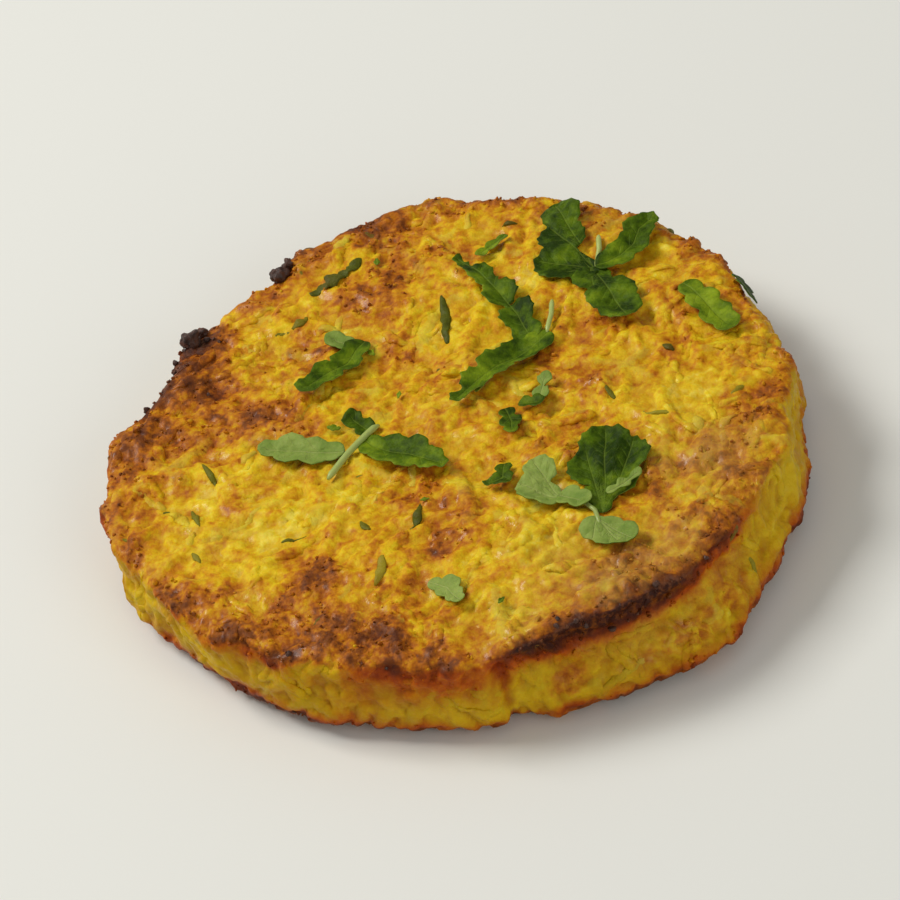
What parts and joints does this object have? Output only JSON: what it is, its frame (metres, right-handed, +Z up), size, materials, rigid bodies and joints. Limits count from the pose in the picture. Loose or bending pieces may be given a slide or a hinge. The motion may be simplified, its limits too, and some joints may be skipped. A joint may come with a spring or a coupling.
{
  "type": "zucchini fritter",
  "caption": "Thick round pan-fried vegetable fritter with browned faces, a soft yellow side and chopped parsley leaves on top.",
  "frame": {"origin": "on the resting plane, under the middle of the fritter's bounding box", "axes": "+Z up out of the browned top face, -Y the front"},
  "size_m": [0.0874, 0.0886, 0.0144],
  "materials": {
    "fried_batter": "golden fried egg batter with browned patches, slightly oily",
    "zucchini_shreds": "fried zucchini shreds, moist",
    "zucchini_skin": "dark green zucchini skin, cooked",
    "burnt_crumbs": "dark burnt crumbs",
    "parsley": "fresh green leaf, satin"
  },
  "bodies": {
    "root": {"fritter": "fried_batter"}
  },
  "joints": []
}
